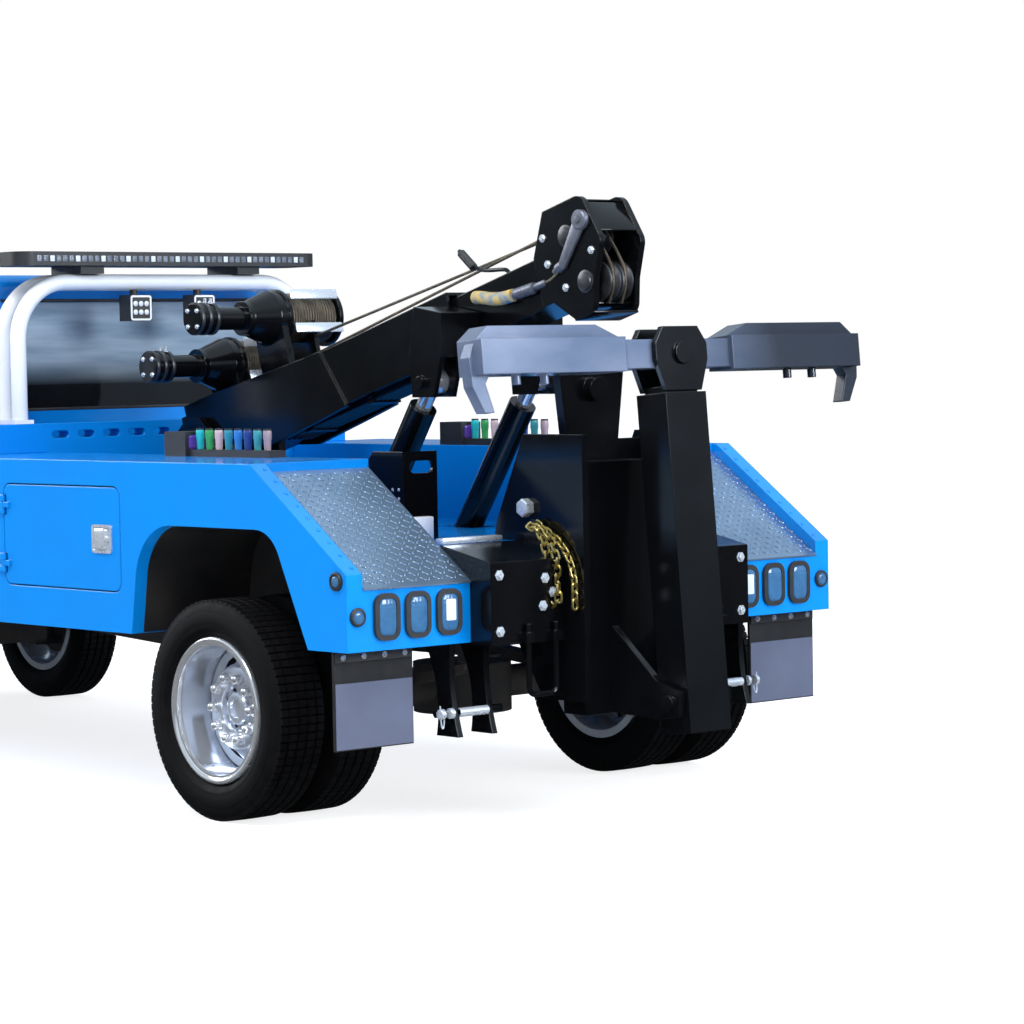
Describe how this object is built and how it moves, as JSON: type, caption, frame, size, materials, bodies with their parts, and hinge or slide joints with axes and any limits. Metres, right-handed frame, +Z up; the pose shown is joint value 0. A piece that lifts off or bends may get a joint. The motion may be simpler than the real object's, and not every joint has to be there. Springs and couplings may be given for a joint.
{
  "type": "tow truck",
  "caption": "Light wrecker with two-door cab, blue tool body, telescopic recovery boom with winches and a folding wheel lift at the rear.",
  "frame": {"origin": "on the ground below the middle of the truck's box", "axes": "+X forward, +Y to the truck's left, +Z up"},
  "size_m": [6.6295, 2.47, 2.2469],
  "materials": {
    "black_paint": "gloss",
    "blue_paint": "gloss",
    "chassis_black": "satin",
    "chrome": "mirror",
    "glass": "clear",
    "gold": "zinc yellow",
    "iron": "rough",
    "lens": "clear",
    "plastic": "matte",
    "polished": "polished",
    "rubber": "matte",
    "seat": "matte",
    "steel": "bare",
    "tread_plate": "bright",
    "tyre": "matte",
    "white_paint": "gloss"
  },
  "bodies": {
    "chassis": {"frame_rails": "chassis_black", "rear_axle": "iron", "front_axle": "iron", "engine": "iron", "fuel_tank": "chassis_black", "cab_shell": "blue_paint", "cab_glass": "glass", "dashboard": "plastic", "bench_seat": "seat", "front_fenders": "blue_paint", "grille": "chrome", "headlamps": "lens", "front_bumper": "chrome", "toolbox_left": "blue_paint", "toolbox_right": "blue_paint", "tread_plates": "tread_plate", "tail_lamps": "lens", "mud_flaps": "rubber", "deck": "blue_paint", "headboard": "blue_paint", "control_levers": "plastic", "light_hoop": "white_paint", "light_bar": "plastic", "work_lamps": "plastic", "boom_stand": "black_paint", "tail_housing": "black_paint", "lift_mast": "black_paint", "hitch_brackets": "black_paint", "safety_chains": "gold", "arm_racks": "black_paint", "wheel_wells": "plastic"},
    "knuckle_left": {"knuckle_left": "iron"},
    "wheel_front_left": {"rim_front_left": "polished", "tyre_front_left": "tyre"},
    "wheel_rear_left": {"rims_rear_left": "polished", "tyres_rear_left": "tyre"},
    "door_left": {"door_left": "blue_paint", "door_glass_left": "glass", "mirror_left": "plastic"},
    "toolbox_door_left": {"toolbox_door_left": "blue_paint"},
    "knuckle_right": {"knuckle_right": "iron"},
    "wheel_front_right": {"rim_front_right": "polished", "tyre_front_right": "tyre"},
    "wheel_rear_right": {"rims_rear_right": "polished", "tyres_rear_right": "tyre"},
    "door_right": {"door_right": "blue_paint", "door_glass_right": "glass", "mirror_right": "plastic"},
    "toolbox_door_right": {"toolbox_door_right": "blue_paint"},
    "hood": {"hood": "blue_paint"},
    "boom": {"boom_lower": "black_paint", "winches": "black_paint"},
    "jib": {"boom_upper": "black_paint", "sheaves": "steel"},
    "ram_barrels": {"ram_barrels": "black_paint"},
    "ram_rods": {"ram_rods": "chrome"},
    "lift_carriage": {"lift_carriage": "black_paint"},
    "stinger": {"stinger": "black_paint"},
    "stinger_inner": {"stinger_inner": "black_paint"},
    "crossbar": {"crossbar": "black_paint"}
  },
  "joints": [
    {"name": "steer_left", "type": "hinge", "parent": "chassis", "child": "knuckle_left", "pos_m": [2.345, 0.88, 0.405], "axis": [0, 0, 1], "range_deg": [-35, 35]},
    {"name": "spin_front_left", "type": "hinge", "parent": "knuckle_left", "child": "wheel_front_left", "pos_m": [2.345, 0.95, 0.405], "axis": [0, 1, 0], "continuous": true},
    {"name": "spin_rear_left", "type": "hinge", "parent": "chassis", "child": "wheel_rear_left", "pos_m": [-1.945, 0.94, 0.405], "axis": [0, 1, 0], "continuous": true},
    {"name": "door_left_swing", "type": "hinge", "parent": "chassis", "child": "door_left", "pos_m": [1.612, 0.989, 1.05], "axis": [0, 0, -1], "range_deg": [0, 68]},
    {"name": "toolbox_door_left_swing", "type": "hinge", "parent": "chassis", "child": "toolbox_door_left", "pos_m": [-0.5945, 1.202, 1.01], "axis": [0, 0, -1], "range_deg": [0, 100]},
    {"name": "steer_right", "type": "hinge", "parent": "chassis", "child": "knuckle_right", "pos_m": [2.345, -0.88, 0.405], "axis": [0, 0, 1], "range_deg": [-35, 35]},
    {"name": "spin_front_right", "type": "hinge", "parent": "knuckle_right", "child": "wheel_front_right", "pos_m": [2.345, -0.95, 0.405], "axis": [0, 1, 0], "continuous": true},
    {"name": "spin_rear_right", "type": "hinge", "parent": "chassis", "child": "wheel_rear_right", "pos_m": [-1.945, -0.94, 0.405], "axis": [0, 1, 0], "continuous": true},
    {"name": "door_right_swing", "type": "hinge", "parent": "chassis", "child": "door_right", "pos_m": [1.612, -0.989, 1.05], "axis": [0, 0, 1], "range_deg": [0, 68]},
    {"name": "toolbox_door_right_swing", "type": "hinge", "parent": "chassis", "child": "toolbox_door_right", "pos_m": [-0.5945, -1.202, 1.01], "axis": [0, 0, 1], "range_deg": [0, 100]},
    {"name": "hood_tilt", "type": "hinge", "parent": "chassis", "child": "hood", "pos_m": [1.8033, 0, 1.325], "axis": [0, -1, 0], "range_deg": [0, 50]},
    {"name": "boom_lift", "type": "hinge", "parent": "chassis", "child": "boom", "pos_m": [-0.445, 0, 1.352], "axis": [0, 1, 0], "range_deg": [0, 25]},
    {"name": "boom_extend", "type": "slide", "parent": "boom", "child": "jib", "axis": [-0.9636, 0, 0.2672], "range_m": [0, 0.6]},
    {"name": "ram_tilt", "type": "hinge", "parent": "chassis", "child": "ram_barrels", "pos_m": [-1.565, 0, 0.8], "axis": [0, 1, 0], "range_deg": [0, 24.78]},
    {"name": "ram_stroke", "type": "slide", "parent": "ram_barrels", "child": "ram_rods", "axis": [-0.5728, 0, 0.8197], "range_m": [0, 0.54179]},
    {"name": "lift_lower", "type": "slide", "parent": "chassis", "child": "lift_carriage", "axis": [0, 0, -1], "range_m": [0, 0.25]},
    {"name": "stinger_fold", "type": "hinge", "parent": "lift_carriage", "child": "stinger", "pos_m": [-3.23, 0, 0.432], "axis": [0, -1, 0], "range_deg": [0, 95]},
    {"name": "stinger_extend", "type": "slide", "parent": "stinger", "child": "stinger_inner", "axis": [0.0872, 0, 0.9962], "range_m": [0, 0.6]},
    {"name": "crossbar_swivel", "type": "hinge", "parent": "stinger_inner", "child": "crossbar", "pos_m": [-3.12193, 0, 1.66728], "axis": [0.9962, 0, -0.0872], "range_deg": [-30, 30]}
  ],
  "couplings": [
    {"joint": "steer_right", "follows": "steer_left", "ratio": 1},
    {"joint": "ram_tilt", "follows": "boom_lift", "ratio": 0.99115},
    {"joint": "ram_stroke", "follows": "boom_lift", "m_per_rad": 1.2417}
  ]
}
